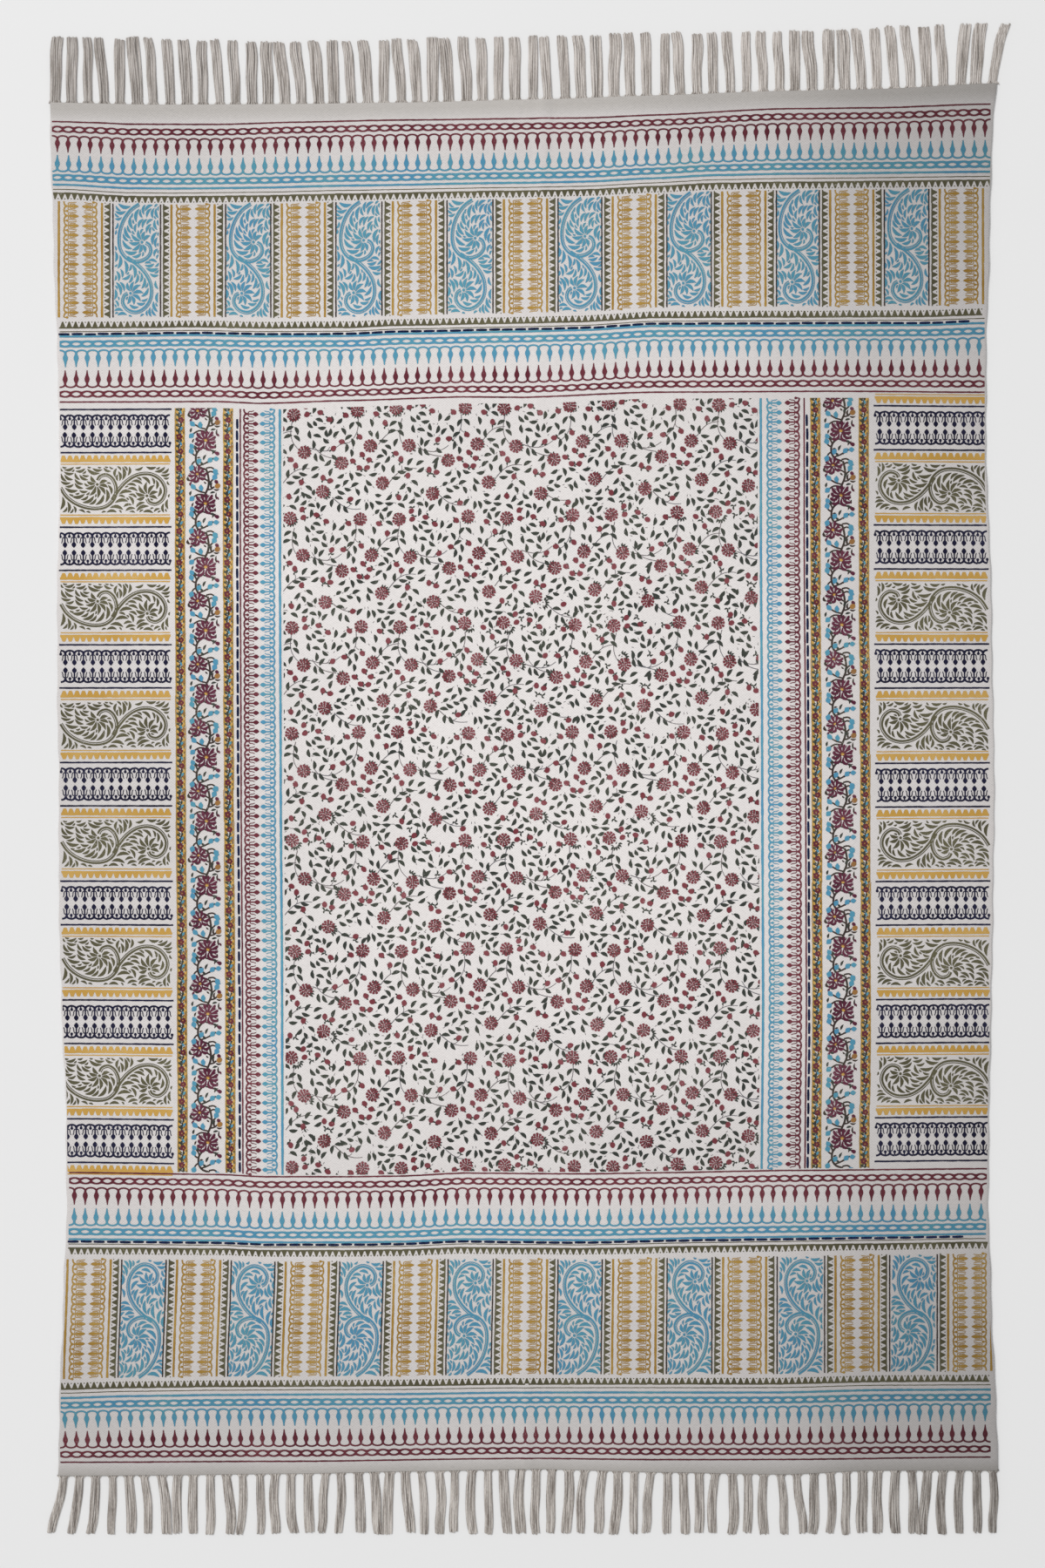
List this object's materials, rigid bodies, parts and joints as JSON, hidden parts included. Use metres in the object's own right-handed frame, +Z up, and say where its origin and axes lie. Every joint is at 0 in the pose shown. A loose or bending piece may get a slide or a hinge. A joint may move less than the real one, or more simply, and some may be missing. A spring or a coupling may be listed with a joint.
{
  "type": "dhurrie rug",
  "caption": "Flat-woven cotton rug lying flat, block-printed with a small floral field, striped floral borders and end bands, with a knotted yarn fringe at each end.",
  "frame": {"origin": "on the floor, at the middle of the whole rug with its fringes", "axes": "+Y along the rug to its far end, +X to the right across it, +Z up from the floor"},
  "size_m": [1.2493, 1.9634, 0.0046],
  "materials": {
    "printed_cotton": "matt flat-woven cotton, block-printed",
    "undyed_yarn": "matt soft cotton yarn"
  },
  "bodies": {
    "root": {"rug_cloth": "printed_cotton", "fringe_far": "undyed_yarn", "fringe_near": "undyed_yarn"}
  },
  "joints": []
}
